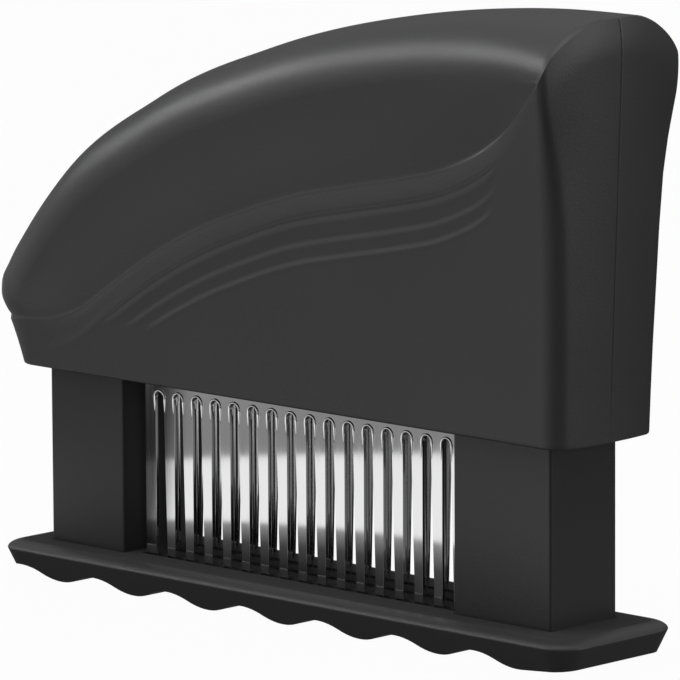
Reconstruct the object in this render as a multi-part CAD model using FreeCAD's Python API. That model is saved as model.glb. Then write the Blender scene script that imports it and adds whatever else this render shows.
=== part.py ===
import FreeCAD, Part
import math
import os

V = FreeCAD.Vector
os.makedirs("parts", exist_ok=True)

# ---- driving dimensions, mm. X runs along the foot plate, Y across it, Z up.
# ---- Z = 0 is the resting plane at the crests of the scallops, Y = 0 is the seam of the handle.
# ---- Everything is drawn with X = 0 at the central crest, and moved to the middle of the overall
# ---- length when it is exported.
TO_MIDDLE = 5.42
PITCH = 20.9              # from crest to crest of the scalloped underside
WAVE = 2.4                # depth of the scallops
LAND = 0.015              # taken off each crest, so that it has a flat to rest on
END_RISE = 1.6            # the right-hand end of the underside rises only this much
FOOT_X0, FOOT_X1 = -79.2, 77.3
FOOT_HALF = 16.6
FOOT_CORNER = 6.0
FOOT_RIM, FOOT_TOP = 5.45, 7.2
FOOT_SHOULDER = 5.0       # width of the rounded shoulder in plan
FOOT_UNDERCUT = 2.6       # the skirt leans in by this much at the resting plane
SOCKET = 1.8              # depth of the column sockets in the foot plate
FIT = 0.1                 # clearance of a column in its socket
SLIDE = 0.3               # clearance of a column in the handle's guides

LEFT_X = (-70.0, -49.3)
RIGHT_X = (41.7, 67.1)
COL_HALF = 9.4
COL_WALL = 2.0
COL_ROUND = 0.6
PAD_TOP = 15.0            # the column is solid up to here, where its spring stands
LEFT_TOP = (46.0, 59.0)   # height of the left column at its outer and inner side
RIGHT_TOP = 70.0
TRAVEL = 25.0             # of the foot plate, up to where the right column meets the spring shelf

ROWS = (-6.2, 0.0, 6.2)   # Y of the three blade combs
SHEET = 0.6               # thickness of a comb
SLOTS = 16
SLOT_PITCH = 5.25
SLOT_0 = -41.53           # X of the first slot
SLOT_TOP = 40.5
SLOT_W_TOP, SLOT_W_LOW = 2.4, 2.7
COMB_X = (-45.6, 40.75)
COMB_TOP = 64.0
TIP = 1.6                 # height of the blade points at rest, inside the foot plate
POINT = 4.0               # height of the ground point of a tine
SLIT_W = 2.0              # width of a blade slit in the foot plate
SLIT_X = (-46.6, 41.75)
SPACER_LOW = 46.0
PIN_X = (-36.0, -3.4, 29.0)
PIN_Z = 56.0
PIN_R = 2.0

WALL = 2.2                # wall of the handle shells
SKIRT_LOW = 43.5          # lower edge of the handle
SKIRT_HALF = 14.0
CREASE = ((-78.4, 50.6), (-75.3, 52.6), (-65.1, 53.8), (-56.4, 57.0), (-48.6, 62.9), (-36.2, 69.5),
          (-22.1, 77.2), (-8.2, 82.5), (5.5, 86.7), (19.0, 89.4), (32.3, 92.0), (45.5, 95.3),
          (54.6, 99.4), (61.1, 103.8), (66.0, 108.5), (80.0, 120.0))
ROOF = ((-88.5, 57.0), (-87.6, 60.0), (-86.0, 63.0), (-83.6, 66.8), (-79.6, 72.3), (-73.6, 79.4),
        (-69.6, 83.3), (-61.6, 89.5), (-51.6, 95.8), (-41.6, 101.2), (-31.6, 105.7), (-21.6, 109.5),
        (-11.6, 112.8), (-1.6, 115.7), (8.4, 118.2), (18.4, 120.4), (28.4, 122.1), (38.4, 123.5),
        (48.4, 124.5), (58.4, 125.2), (68.4, 125.6), (80.0, 125.8))
NOSE_X = -88.5
GRIP_R = 12.3             # the grip's half depth and the radius of its full-round top
END = ((40.0, 73.95), (43.4, 74.13), (61.5, 74.64), (76.9, 75.25), (92.3, 75.93), (107.6, 76.59),
       (119.0, 77.0), (130.0, 77.2))
BELL = ((44.0, 13.7), (60.0, 14.1), (77.0, 14.8), (90.0, 15.5), (100.0, 16.8), (106.0, 18.1), (112.5, 19.1),
        (117.0, 18.9), (120.3, 16.2), (122.6, 12.6), (124.3, 8.0), (125.3, 4.0), (125.8, 0.0))
BELL_FROM, BELL_RIM = 34.0, 74.4   # X where the grip starts to flare and where it has its full width
BOW = 2.1                 # the end face bows out by this much at the seam

SPRING_R = 4.75           # mean radius of the return springs
WIRE_R = 0.5
SPRING_TURNS = 14
SPRING_TOP = 80.5
HEAD_R, HEAD_T = 5.75, 2.0
ROD_R = 2.5
ROD_LOW = 40.5
BOSS_R = 6.4
LEFT_C = sum(LEFT_X) / 2
RIGHT_C = sum(RIGHT_X) / 2
SHELF_LOW = RIGHT_TOP + TRAVEL + 2.0
SHELF_TOP = SHELF_LOW + WALL

SHELL_SCREWS = ((-77.5, 62.0), (-40.0, 73.0), (34.0, 74.5), (0.0, 103.0), (69.0, 110.0))
COLUMN_SCREW_X = (-3 * PITCH, 3 * PITCH)
COLUMN_SCREW_Y = (-4.8, 4.8)


def lerp(table, x):
    if x <= table[0][0]:
        return table[0][1]
    for (x0, z0), (x1, z1) in zip(table, table[1:]):
        if x <= x1:
            return z0 + (z1 - z0) * (x - x0) / (x1 - x0)
    return table[-1][1]


def box(x0, x1, y0, y1, z0, z1):
    return Part.makeBox(x1 - x0, y1 - y0, z1 - z0, V(x0, y0, z0))


def cyl(r, base, axis, length):
    return Part.makeCylinder(r, length, V(*base), V(*axis))


def polygon(points):
    vectors = [V(*p) for p in points]
    return Part.makePolygon(vectors + vectors[:1])


def prism_xz(points, half=40.0):
    """Closed outline in X and Z, extruded across the whole depth."""
    face = Part.Face(polygon([(x, -half, z) for x, z in points]))
    return face.extrude(V(0, 2 * half, 0))


def round_rect(x0, x1, half, radius, z):
    """Wire of a rectangle with round corners at height z, always with eight edges."""
    k = radius * (1 - math.sqrt(0.5))
    edges = []
    corners = ((x1, -half, 1, -1), (x1, half, 1, 1), (x0, half, -1, 1), (x0, -half, -1, -1))
    ends = []
    for x, y, sx, sy in corners:
        a, m, b = V(x - sx * radius, y, z), V(x - sx * k, y - sy * k, z), V(x, y - sy * radius, z)
        if sx * sy > 0:
            a, b = b, a
        ends.append((a, m, b))
    for i, (a, m, b) in enumerate(ends):
        edges.append(Part.Arc(a, m, b).toShape())
        edges.append(Part.makeLine(b, ends[(i + 1) % 4][0]))
    return Part.Wire(edges)


def loft(wires, ruled=True):
    return Part.makeLoft(wires, True, ruled)


def join(shapes):
    return shapes[0].multiFuse(list(shapes[1:])) if len(shapes) > 1 else shapes[0]


def export(shape, name):
    solids = shape.Solids
    if len(solids) == 1:
        shape = solids[0]
    shape = shape.translated(V(TO_MIDDLE, 0, 0))
    shape.exportStep("parts/%s.step" % name)
    bb = shape.BoundBox
    print("%-20s solids %d valid %s vol %.0f  x %.1f %.1f  y %.1f %.1f  z %.1f %.1f" % (
        name, len(solids), shape.isValid(), shape.Volume,
        bb.XMin, bb.XMax, bb.YMin, bb.YMax, bb.ZMin, bb.ZMax))
    return shape


# ---- foot plate: a shallow skirt with a round shoulder, a scalloped underside and three slits
def foot_wire(inset, z):
    return round_rect(FOOT_X0 + inset, FOOT_X1 - inset, FOOT_HALF - inset, FOOT_CORNER - inset, z)


levels = [foot_wire(FOOT_UNDERCUT, 0.0), foot_wire(0.0, FOOT_RIM)]
for step in (1, 2, 3):
    turn = math.radians(30 * step)
    levels.append(foot_wire(FOOT_SHOULDER * (1 - math.cos(turn)),
                            FOOT_RIM + (FOOT_TOP - FOOT_RIM) * math.sin(turn)))
plate = loft(levels)

edges = []
first, last = -4, 3
for n in range(first, last + 1):
    crest = n * PITCH
    quarter = PITCH / 4
    mid = WAVE / 2 - LAND
    if n == last:                       # the right-hand end stays low after the last crest
        low = V(crest + 18.0, 0, END_RISE)
        edges.append(Part.Arc(V(crest - quarter, 0, mid), V(crest, 0, -LAND), V(crest + 1.6, 0, 0.09)).toShape())
        edges.append(Part.makeLine(V(crest + 1.6, 0, 0.09), low))
    else:
        edges.append(Part.Arc(V(crest - quarter, 0, mid), V(crest, 0, -LAND), V(crest + quarter, 0, mid)).toShape())
        edges.append(Part.Arc(V(crest + quarter, 0, mid), V(crest + PITCH / 2, 0, WAVE - LAND),
                              V(crest + PITCH - quarter, 0, mid)).toShape())
x_a, x_b = first * PITCH - PITCH / 4, last * PITCH + 18.0
edges.append(Part.makeLine(V(x_b, 0, END_RISE), V(x_b, 0, 20.0)))
edges.append(Part.makeLine(V(x_b, 0, 20.0), V(x_a, 0, 20.0)))
edges.append(Part.makeLine(V(x_a, 0, 20.0), V(x_a, 0, WAVE / 2 - LAND)))
wave = Part.Face(Part.Wire(edges))
wave.translate(V(0, -30, 0))
foot = plate.common(wave.extrude(V(0, 60, 0)))
foot = foot.common(box(-100, 100, -30, 30, 0, 20))
cuts = []
for y in ROWS:
    x0, x1 = SLIT_X
    r = SLIT_W / 2
    slit = box(x0 + r, x1 - r, y - r, y + r, -1, 10)
    cuts.append(join([slit, cyl(r, (x0 + r, y, -1), (0, 0, 1), 11), cyl(r, (x1 - r, y, -1), (0, 0, 1), 11)]))
for x0, x1 in (LEFT_X, RIGHT_X):
    cuts.append(box(x0 - FIT, x1 + FIT, -COL_HALF - FIT, COL_HALF + FIT, FOOT_TOP - SOCKET, 10))
for x in COLUMN_SCREW_X:
    for y in COLUMN_SCREW_Y:
        cuts.append(cyl(3.0, (x, y, -1), (0, 0, 1), 4.0))
        cuts.append(cyl(1.7, (x, y, -1), (0, 0, 1), 10))
for cut in cuts:
    foot = foot.cut(cut)
foot = export(foot, "foot_plate")


# ---- columns: hollow, solid at the foot, with a lug that keeps them in the handle
def column(span, top_points, lug):
    x0, x1 = span
    low = FOOT_TOP - SOCKET
    outer = loft([round_rect(x0, x1, COL_HALF, COL_ROUND, low), round_rect(x0, x1, COL_HALF, COL_ROUND, 90)])
    inner = box(x0 + COL_WALL, x1 - COL_WALL, -COL_HALF + COL_WALL, COL_HALF - COL_WALL, PAD_TOP, 95)
    body = outer.cut(inner)
    body = body.common(prism_xz(top_points))
    body = body.fuse(lug)
    for x in COLUMN_SCREW_X:
        if x0 < x < x1:
            for y in COLUMN_SCREW_Y:
                body = body.cut(cyl(1.3, (x, y, 0), (0, 0, 1), 12.5))
    return body


LUG_LOW, LUG_TOP = 54.0, 57.5
left_lug = box(LEFT_X[1] - 0.8, LEFT_X[1] + 1.5, -5, 5, LUG_LOW, LUG_TOP)
right_lug = box(RIGHT_X[1] - 0.8, RIGHT_X[1] + 1.5, -5, 5, LUG_LOW, LUG_TOP)
left = column(LEFT_X, ((-75, 0), (-45, 0), (-45, LEFT_TOP[1]), (LEFT_X[1], LEFT_TOP[1]),
                       (LEFT_X[0], LEFT_TOP[0]), (-75, LEFT_TOP[0])), left_lug)
right = column(RIGHT_X, ((35, 0), (72, 0), (72, RIGHT_TOP), (35, RIGHT_TOP)), right_lug)
left = export(left, "left_column")
right = export(right, "right_column")


# ---- blade combs: sheet with round-topped slots and ground points
def comb(y):
    outline = [(COMB_X[0], COMB_TOP), (COMB_X[0], TIP + POINT)]
    bounds = [COMB_X[0]]
    for i in range(SLOTS):
        centre = SLOT_0 + i * SLOT_PITCH
        bounds += [centre - SLOT_W_LOW / 2, centre + SLOT_W_LOW / 2]
    bounds.append(COMB_X[1])
    for a, b in zip(bounds[0::2], bounds[1::2]):
        outline += [(a, TIP + POINT), ((a + b) / 2, TIP), (b, TIP + POINT)]
    outline += [(COMB_X[1], COMB_TOP)]
    clean = [outline[0]]
    for p in outline[1:]:
        if p != clean[-1]:
            clean.append(p)
    face = Part.Face(polygon([(x, y - SHEET / 2, z) for x, z in clean]))
    plate = face.extrude(V(0, SHEET, 0))
    for i in range(SLOTS):
        centre = SLOT_0 + i * SLOT_PITCH
        r = SLOT_W_TOP / 2
        low = SLOT_W_LOW / 2
        neck = SLOT_TOP - r
        slot = Part.Face(polygon([(centre - r, y - 1, neck), (centre - low, y - 1, TIP + POINT),
                                  (centre - low, y - 1, -1), (centre + low, y - 1, -1),
                                  (centre + low, y - 1, TIP + POINT), (centre + r, y - 1, neck)]))
        plate = plate.cut(slot.extrude(V(0, 2, 0)))
        plate = plate.cut(cyl(r, (centre, y - 1, neck), (0, 1, 0), 2))
    for x in PIN_X:
        plate = plate.cut(cyl(PIN_R, (x, y - 1, PIN_Z), (0, 1, 0), 2))
    return plate


for y, name in zip(ROWS, ("front", "middle", "rear")):
    export(comb(y), "blade_comb_" + name)

for y0, y1, name in ((ROWS[0], ROWS[1], "front"), (ROWS[1], ROWS[2], "rear")):
    bar = box(COMB_X[0] + 0.4, COMB_X[1] - 0.4, y0 + SHEET / 2, y1 - SHEET / 2, SPACER_LOW, COMB_TOP)
    for x in PIN_X:
        bar = bar.cut(cyl(PIN_R, (x, -10, PIN_Z), (0, 1, 0), 20))
    export(bar, "comb_spacer_" + name)

PIN_HALF = 10.5
export(Part.makeCompound([cyl(PIN_R, (x, -PIN_HALF, PIN_Z), (0, 1, 0), 2 * PIN_HALF) for x in PIN_X]), "comb_pins")


# ---- return springs and their guides
def spring(x):
    length = SPRING_TOP - PAD_TOP
    rise = (length - 2 * WIRE_R) / SPRING_TURNS
    helix = Part.makeHelix(rise, length - 2 * WIRE_R, SPRING_R)
    circle = Part.Wire(Part.makeCircle(WIRE_R, V(SPRING_R, 0, 0), V(0, 1, 0)))
    coil = Part.Wire(helix.Edges).makePipeShell([circle], True, True)
    coil.translate(V(x, 0, PAD_TOP + WIRE_R))
    return coil


def guide(x):
    head = cyl(HEAD_R, (x, 0, SPRING_TOP), (0, 0, 1), HEAD_T)
    return head.fuse(cyl(ROD_R, (x, 0, ROD_LOW), (0, 0, 1), SPRING_TOP - ROD_LOW + 0.5))


for x, side in ((LEFT_C, "left"), (RIGHT_C, "right")):
    export(spring(x), "spring_" + side)
    export(guide(x), "spring_guide_" + side)


# ---- handle: outer form, inner form, then everything inside, then split at the seam
def end_wire(z, inset, half=24.0):
    """Plan outline of the room to the left of the bowed end face, at height z."""
    x1 = lerp(END, z) - inset
    bow = BOW * (half / SKIRT_HALF) ** 2 * 0.62
    return Part.Wire([Part.Arc(V(x1 - bow, -half, z), V(x1, 0, z), V(x1 - bow, half, z)).toShape(),
                      Part.makeLine(V(x1 - bow, half, z), V(-95, half, z)),
                      Part.makeLine(V(-95, half, z), V(-95, -half, z)),
                      Part.makeLine(V(-95, -half, z), V(x1 - bow, -half, z))])


def end_room(inset):
    return loft([end_wire(z, inset) for z, _ in END])


def skirt(inset):
    """Flat-sided lower body, up to the crease."""
    half = SKIRT_HALF - inset
    wires = []
    for z, x0, radius in ((SKIRT_LOW, -75.7, 5.0), (50.0, -79.2, 7.0), (56.0, -80.8, 7.5), (125.0, -80.8, 7.5)):
        wires.append(round_rect(x0 + inset, 90.0, half, radius - inset * 0.6, z))
    block = loft(wires)
    if inset:
        low = loft([round_rect(-75.7 + inset, 90.0, half, 5.0 - inset * 0.6, SKIRT_LOW - 5),
                    round_rect(-75.7 + inset, 90.0, half, 5.0 - inset * 0.6, SKIRT_LOW)])
        block = block.fuse(low)
    outline = [(x, z - inset) for x, z in CREASE]
    outline = [(-95.0, outline[0][1])] + outline + [(95.0, 120.0 - inset), (95.0, 30.0), (-95.0, 30.0)]
    return block.common(prism_xz(outline)).common(end_room(inset))


def grip_wire(x, inset):
    """Section of the grip at x: flat below, wall, full-round top; it grows into the bell at the end."""
    top = lerp(ROOF, x) - inset * 1.12
    reach = max(x - NOSE_X - inset, 0.35)
    radius = GRIP_R - inset
    half = radius if reach >= radius else math.sqrt(radius ** 2 - (radius - reach) ** 2)
    low_outer = lerp(((-88.5, 54.2), (-84.0, 52.6), (-78.0, 51.0), (-74.0, 51.0), (90.0, 51.0)), x)
    low = low_outer + inset
    span = top - low
    drop = min(radius * 1.08, span * 0.62)
    points = []
    for k in range(9):
        turn = math.radians(90.0 * k / 8)
        points.append((half * math.cos(turn), top - drop + drop * math.sin(turn)))
    wall = [(half * (1.0 - 0.03 * (1 - s)), low + (top - drop - low) * s) for s in (0.0, 0.25, 0.5, 0.75)]
    outline = wall + points
    flare = max(0.0, (x - BELL_FROM) / (BELL_RIM - BELL_FROM))
    flare = min(flare ** 2.6, 1.12)
    table = [(z, h) for z, h in BELL]
    mixed = []
    count = len(outline)
    for k, (y, z) in enumerate(outline):
        s = k / (count - 1.0)
        place = s * (len(table) - 1)
        i = min(int(place), len(table) - 2)
        t = place - i
        bz = table[i][0] + (table[i + 1][0] - table[i][0]) * t
        by = table[i][1] + (table[i + 1][1] - table[i][1]) * t
        bz = low + (bz - table[0][0]) * (125.8 - inset - low) / (125.8 - table[0][0])
        by = max(by - inset, 0.0)
        mixed.append((y + (by - y) * flare, z + (bz - z) * flare))
    right = [V(x, y, z) for y, z in mixed]
    left = [V(x, -y, z) for y, z in reversed(mixed[:-1])]
    curve = Part.BSplineCurve()
    curve.interpolate(right + left)
    base = Part.makeLine(left[-1], right[0])
    return Part.Wire([curve.toShape(), base])


def grip(inset):
    first = NOSE_X + inset + 0.35
    stations = [first, first + 1.2, first + 3.0, first + 6.0, first + 10.0, -73.0, -66.0, -57.0, -46.0, -32.0,
                -15.0, 2.0, 20.0, 36.0, 46.0, 55.0, 62.0, 68.0, 73.0, 77.0, 80.0]
    body = loft([grip_wire(x, inset) for x in stations], False)
    return body.common(end_room(inset))


outer = skirt(0.0).fuse(grip(0.0))
# the two inner forms meet in a well that the left column rises through
well = box(LEFT_X[0] - 3.1, RIGHT_X[1] + 5.3, -COL_HALF - 0.8, COL_HALF + 0.8, 45.0, 57.0)
inner = skirt(WALL).fuse(grip(WALL)).fuse(well)
print("outer", outer.isValid(), len(outer.Solids), outer.Volume, "inner", inner.isValid(), len(inner.Solids), inner.Volume)
shell = outer.cut(inner)
print("shell", shell.isValid(), len(shell.Solids), shell.Volume)

ribs = []
# guides around both columns: front and back strips, and a rib at each end
for x0, x1 in (LEFT_X, RIGHT_X):
    for x in (x0 + 3.0, x1 - 5.0):
        for side in (-1, 1):
            near, far = COL_HALF + SLIDE, SKIRT_HALF - 1.0
            ya, yb = sorted((side * near, side * far))
            ribs.append(box(x, x + 2.0, ya, yb, SKIRT_LOW + 0.5, 62.0 if x0 > 0 else 51.0))
ribs.append(box(-75.0, LEFT_X[0] - SLIDE, -5.0, 5.0, SKIRT_LOW + 0.5, 51.0))
ribs.append(box(RIGHT_X[1] + SLIDE, 74.0, -6.0, 6.0, SKIRT_LOW + 0.5, LUG_LOW - 0.05))
# bar between left column and combs: guide and stop for the column's lug
ribs.append(box(LEFT_X[1] + SLIDE, COMB_X[0] - 0.4, -13.0, 13.0, 46.0, LUG_LOW - 0.05))
ribs.append(box(RIGHT_X[0] - 0.6, RIGHT_X[0] - SLIDE, -13.0, 13.0, 46.0, 62.0))
# pads and bosses that clamp the pack of combs between the shells
for side in (-1, 1):
    near, far = ROWS[2] + SHEET / 2, SKIRT_HALF - 1.0
    ya, yb = sorted((side * near, side * far))
    for x in (COMB_X[0] + 1.0, -20.5, 12.0, COMB_X[1] - 3.4):
        ribs.append(box(x, x + 2.4, ya, yb, SPACER_LOW, COMB_TOP))
    for x in PIN_X:
        ribs.append(cyl(3.6, (x, side * near, PIN_Z), (0, side, 0), far - near))
# left spring seat hangs from the roof, right one from a shelf
ribs.append(cyl(BOSS_R, (LEFT_C, 0, SPRING_TOP), (0, 0, 1), 9.0))
ribs.append(cyl(BOSS_R, (RIGHT_C, 0, SPRING_TOP), (0, 0, 1), SHELF_LOW - SPRING_TOP + 1.0))
ribs.append(box(RIGHT_X[0] - 2.0, 75.5, -16.0, 16.0, SHELF_LOW, SHELF_TOP))
for x, z in SHELL_SCREWS:
    ribs.append(cyl(3.6, (x, -17, z), (0, 1, 0), 34))
inside = join(ribs).common(outer)
body = shell.fuse(inside)

holes = []
for x in PIN_X:
    holes.append(cyl(PIN_R, (x, -PIN_HALF, PIN_Z), (0, 1, 0), 2 * PIN_HALF))
for x in (LEFT_C, RIGHT_C):
    holes.append(cyl(HEAD_R, (x, 0, SPRING_TOP - 0.5), (0, 0, 1), HEAD_T + 0.5))
SCREW_R, SCREW_HEAD_R = 1.5, 2.8
SCREW_HEAD_Y, SCREW_TIP_Y = 5.5, -6.5
for x, z in SHELL_SCREWS:
    holes.append(cyl(SCREW_HEAD_R + 0.2, (x, SCREW_HEAD_Y, z), (0, 1, 0), 30))
    holes.append(cyl(SCREW_R, (x, SCREW_TIP_Y, z), (0, 1, 0), SCREW_HEAD_Y - SCREW_TIP_Y + 1))
for hole in holes:
    body = body.cut(hole)
front = body.common(box(-120, 120, -40, 0, 0, 160))
back = body.common(box(-120, 120, 0, 40, 0, 160))
export(front, "handle_front_shell")
export(back, "handle_back_shell")

screws = []
for x, z in SHELL_SCREWS:
    shank = cyl(SCREW_R, (x, SCREW_TIP_Y, z), (0, 1, 0), SCREW_HEAD_Y - SCREW_TIP_Y)
    head = cyl(SCREW_HEAD_R, (x, SCREW_HEAD_Y, z), (0, 1, 0), 1.8)
    screw = shank.fuse(head)
    screw = screw.cut(box(x - 2.0, x + 2.0, SCREW_HEAD_Y + 0.9, 20, z - 0.3, z + 0.3))
    screw = screw.cut(box(x - 0.3, x + 0.3, SCREW_HEAD_Y + 0.9, 20, z - 2.0, z + 2.0))
    screws.append(screw)
export(Part.makeCompound(screws), "shell_screws")

screws = []
for x in COLUMN_SCREW_X:
    for y in COLUMN_SCREW_Y:
        head = cyl(2.75, (x, y, 1.2), (0, 0, 1), 1.8)
        screw = head.fuse(cyl(1.3, (x, y, 3.0), (0, 0, 1), 9.0))
        screw = screw.cut(box(x - 1.9, x + 1.9, y - 0.3, y + 0.3, 0, 2.0))
        screw = screw.cut(box(x - 0.3, x + 0.3, y - 1.9, y + 1.9, 0, 2.0))
        screws.append(screw)
export(Part.makeCompound(screws), "column_screws")
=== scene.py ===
"""Blade meat tenderizer: a scooped hollow handle over three combs of steel tines, with a sprung
foot plate on two hollow columns. Lengths in the sections are millimetres from the central crest
of the foot plate's underside, with Y across and Z up; to_frame turns them into the frame's metres."""
import bmesh
import bpy
import numpy as np
from mathutils import Matrix, Vector


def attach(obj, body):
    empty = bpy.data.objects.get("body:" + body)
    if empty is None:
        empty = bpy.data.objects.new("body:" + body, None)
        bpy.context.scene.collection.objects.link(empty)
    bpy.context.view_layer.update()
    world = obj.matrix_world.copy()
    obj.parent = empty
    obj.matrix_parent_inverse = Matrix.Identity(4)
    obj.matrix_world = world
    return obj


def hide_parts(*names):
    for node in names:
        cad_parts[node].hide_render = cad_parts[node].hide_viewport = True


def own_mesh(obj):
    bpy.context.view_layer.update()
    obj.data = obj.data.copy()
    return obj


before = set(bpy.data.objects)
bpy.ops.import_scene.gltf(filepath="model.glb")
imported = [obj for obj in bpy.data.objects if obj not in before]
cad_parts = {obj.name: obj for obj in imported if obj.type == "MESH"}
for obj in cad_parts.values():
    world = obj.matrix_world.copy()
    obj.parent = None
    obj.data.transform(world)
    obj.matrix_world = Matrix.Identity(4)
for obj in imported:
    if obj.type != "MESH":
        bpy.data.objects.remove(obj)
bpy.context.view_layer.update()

# ==== Handle shells ===========================================================================
# Two mirrored hollow halves moulded in black nylon with a fine satin texture, screwed together
# at a seam that runs over the grip and down the middle of the flared end. Each half is one
# surface: a scooped grip above a curved crease, and a flat lower face with three raised lips.
MM, CREST_TO_MIDDLE = 0.001, 5.42
SKIRT_LOW, SKIRT_HALF, GRIP_HALF, SHELL_WALL = 43.5, 14.0, 12.8, 2.2
# X and Z along the crease, to where it meets the rim of the flared end
SIDE_END = 72.5
CREASE = np.array([(-75.3, 52.9), (-65.1, 53.8), (-56.4, 57.0), (-48.6, 62.2), (-36.2, 69.9),
                   (-22.1, 76.9), (-8.2, 82.1), (5.5, 86.3), (19.0, 89.2), (32.3, 91.9),
                   (45.5, 95.3), (54.6, 99.4), (61.1, 103.8), (66.6, 108.6), (72.5, 114.2)])
# the rim is half an ellipse: turn from its top in degrees, and how far it stands over the ellipse
RIM_HALF, RIM_LOW, RIM_RISE = 19.6, 114.2, 11.6
RIM_FULL = np.array([(0.0, 0.1), (13.0, 0.33), (22.0, 0.28), (32.0, 0.1), (42.0, -0.08),
                     (55.0, -0.3), (66.0, -0.3), (78.0, -0.15), (90.0, 0.0)])
# the nose is round above, and turns into a square end with small corners at the lower edge
NOSE_X, NOSE_REACH, NOSE_LOW, NOSE_RISE = -72.0, 12.4, 51.7, 1.3
NOSE_SHIFT, NOSE_FULL, NOSE_CURVE, LOW_CORNER, LOW_BOW = 1.3, 0.9, 1.05, 5.0, 0.4
# the end face: height and X, its bow at the seam, its upright edges, the dome below the rim
END_FACE = np.array([(40.0, 73.95), (60.0, 74.6), (77.0, 75.25), (92.0, 75.93), (108.0, 76.6),
                     (119.0, 77.0), (130.0, 77.2)])
BOW_LOW, BOW_HIGH, BOW_FROM, BOW_SPAN = 1.3, 2.4, 78.0, 26.0
CORNER_LOW, CORNER_TAPER, CORNER_FROM, CORNER_SPAN = 3.4, 2.1, 84.0, 30.0
DOME, DOME_DEPTH, DOME_FULL = 1.1, 8.0, 0.6
# height and half depth of the end face; the side flares out to it from FLARE_FROM on
BELL = np.array([(40.0, 14.25), (60.0, 14.7), (77.0, 15.4), (90.0, 16.1), (100.0, 17.5),
                 (106.0, 18.65), (109.0, 19.25), (112.0, 19.6), (130.0, 19.6)])
FLARE_FROM, FLARE_CURVE = 36.0, 2.2
# crease X, roof X and Z, and the X and Z where the full round ends, from the nose to the end
RIBS = np.array([(-72.0, -84.6, 51.7, -72.0, 53.0), (-71.2, -85.7, 53.0, -73.2, 54.2),
                 (-70.3, -87.2, 55.6, -74.2, 55.5), (-69.0, -87.3, 59.4, -74.6, 56.8),
                 (-66.5, -85.0, 64.0, -73.9, 59.2), (-62.0, -80.1, 71.2, -70.8, 63.8),
                 (-53.0, -67.9, 84.7, -60.3, 75.0), (-36.0, -44.0, 99.95, -38.8, 88.8),
                 (-10.0, -14.6, 111.8, -11.0, 100.0), (26.0, 22.6, 121.1, 24.7, 109.0),
                 (50.0, 48.0, 124.55, 49.0, 112.6), (64.0, 62.5, 125.5, 63.3, 113.8),
                 (72.5, 75.9, 125.85, 72.5, 114.2)])
# the grip widens to the rim and to the nose, just inside both, and is tied to their edges there
GRIP_FLARE_FROM, GRIP_FLARE_CURVE, INSIDE_RIM, INSIDE_NOSE, NOSE_BLEND = 12.0, 2.4, 0.7, 0.1, 12.0
NOSE_TIE, NOSE_TIE_CURVE, RIM_TIE_FROM, RIM_TIE_CURVE = 7.0, 3.0, 62.0, 2.5
WALL_STEPS = (0.1, 0.22, 0.35, 0.48, 0.6, 0.7, 0.79, 0.87, 0.93, 0.97)
# the ledge at the crease: how far it goes in along the side, the nose and the rim, and its
# rounding as shares of that with their rise
LEDGE, LEDGE_GROWTH, LEDGE_FROM, LEDGE_SPAN = 0.12, 0.5, 40.0, 30.0
LEDGE_BACK, LEDGE_BACK_FROM, NOSE_LEDGE, RIM_LEDGE_X, RIM_LEDGE_Y = 0.25, 58.0, 0.15, 0.9, 0.7
LEDGE_RISE, RIM_LEDGE_ROUND = 0.85, 0.3
LEDGE_ROWS = ((0.1, 0.22), (0.3, 0.45), (0.58, 0.66), (0.82, 0.86), (1.0, 1.15))
# the strip below the crease leans in, and to the left it widens by a share of the way there
STRIP_LEAN, STRIP_DEPTH, STRIP_CURVE = 0.65, 4.7, 1.35
STRIP_START, STRIP_START_SPAN, STRIP_STOP, STRIP_STOP_SPAN = -76.0, 26.0, 70.0, 12.0
SLIP, SLIP_FROM, SLIP_SPAN = 0.026, 1.5, 3.5
# drop below the crease and how far the side stands out there, down the three lips
LIP_HEIGHT, LIP_START_FADE, LIP_STOP_FADE = 0.45, 4.5, 2.5
LIP_PROFILE = np.array([(4.5, 0.0), (4.85, -0.1), (5.05, 0.0), (5.25, 0.02), (5.6, -0.14),
                        (6.0, 0.04), (6.8, 0.3), (7.2, 0.3), (7.6, 0.16), (9.7, -0.38),
                        (10.05, -0.3), (10.9, 0.1), (11.25, 0.12), (11.6, 0.0), (13.2, -0.38),
                        (13.55, -0.3), (14.35, 0.12), (14.7, 0.12), (15.2, 0.0), (16.0, 0.0)])
# drop, and where the lip at that drop starts and stops
LIP_ENDS = np.array([(5.9, -50.5, 60.0), (10.2, -43.8, 59.0), (13.7, -38.0, 58.5)])
# rows of the lower part: drops below the crease, drawn together where the room below is short,
# shares of the way down from there, and height over the lower edge with its rounding
DROPS = np.concatenate([[0.85, 1.15, 1.5, 2.2, 3.0, 3.8], np.arange(4.3, 16.2, 0.24), [16.8, 17.8]])
ROOM_BELOW, ROOM_SPARE, ROOM_LEAST = 1.2, 0.9, 0.25
SKIRT_STEPS = (0.12, 0.3, 0.5, 0.7, 0.86, 0.95, 0.985)
EDGE_ROWS = ((0.35, 0.0), (0.1, 0.1), (0.0, 0.35))
# turns round a quarter, dense at both ends, and steps along the side, dense at the nose
ARC = np.radians(np.concatenate([[0.0, 0.6, 1.3, 2.6], np.linspace(6.0, 84.0, 20),
                                 [87.0, 88.8, 90.0]]))
ALONG = np.linspace(0.0, 1.0, 190) ** 1.45


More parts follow.
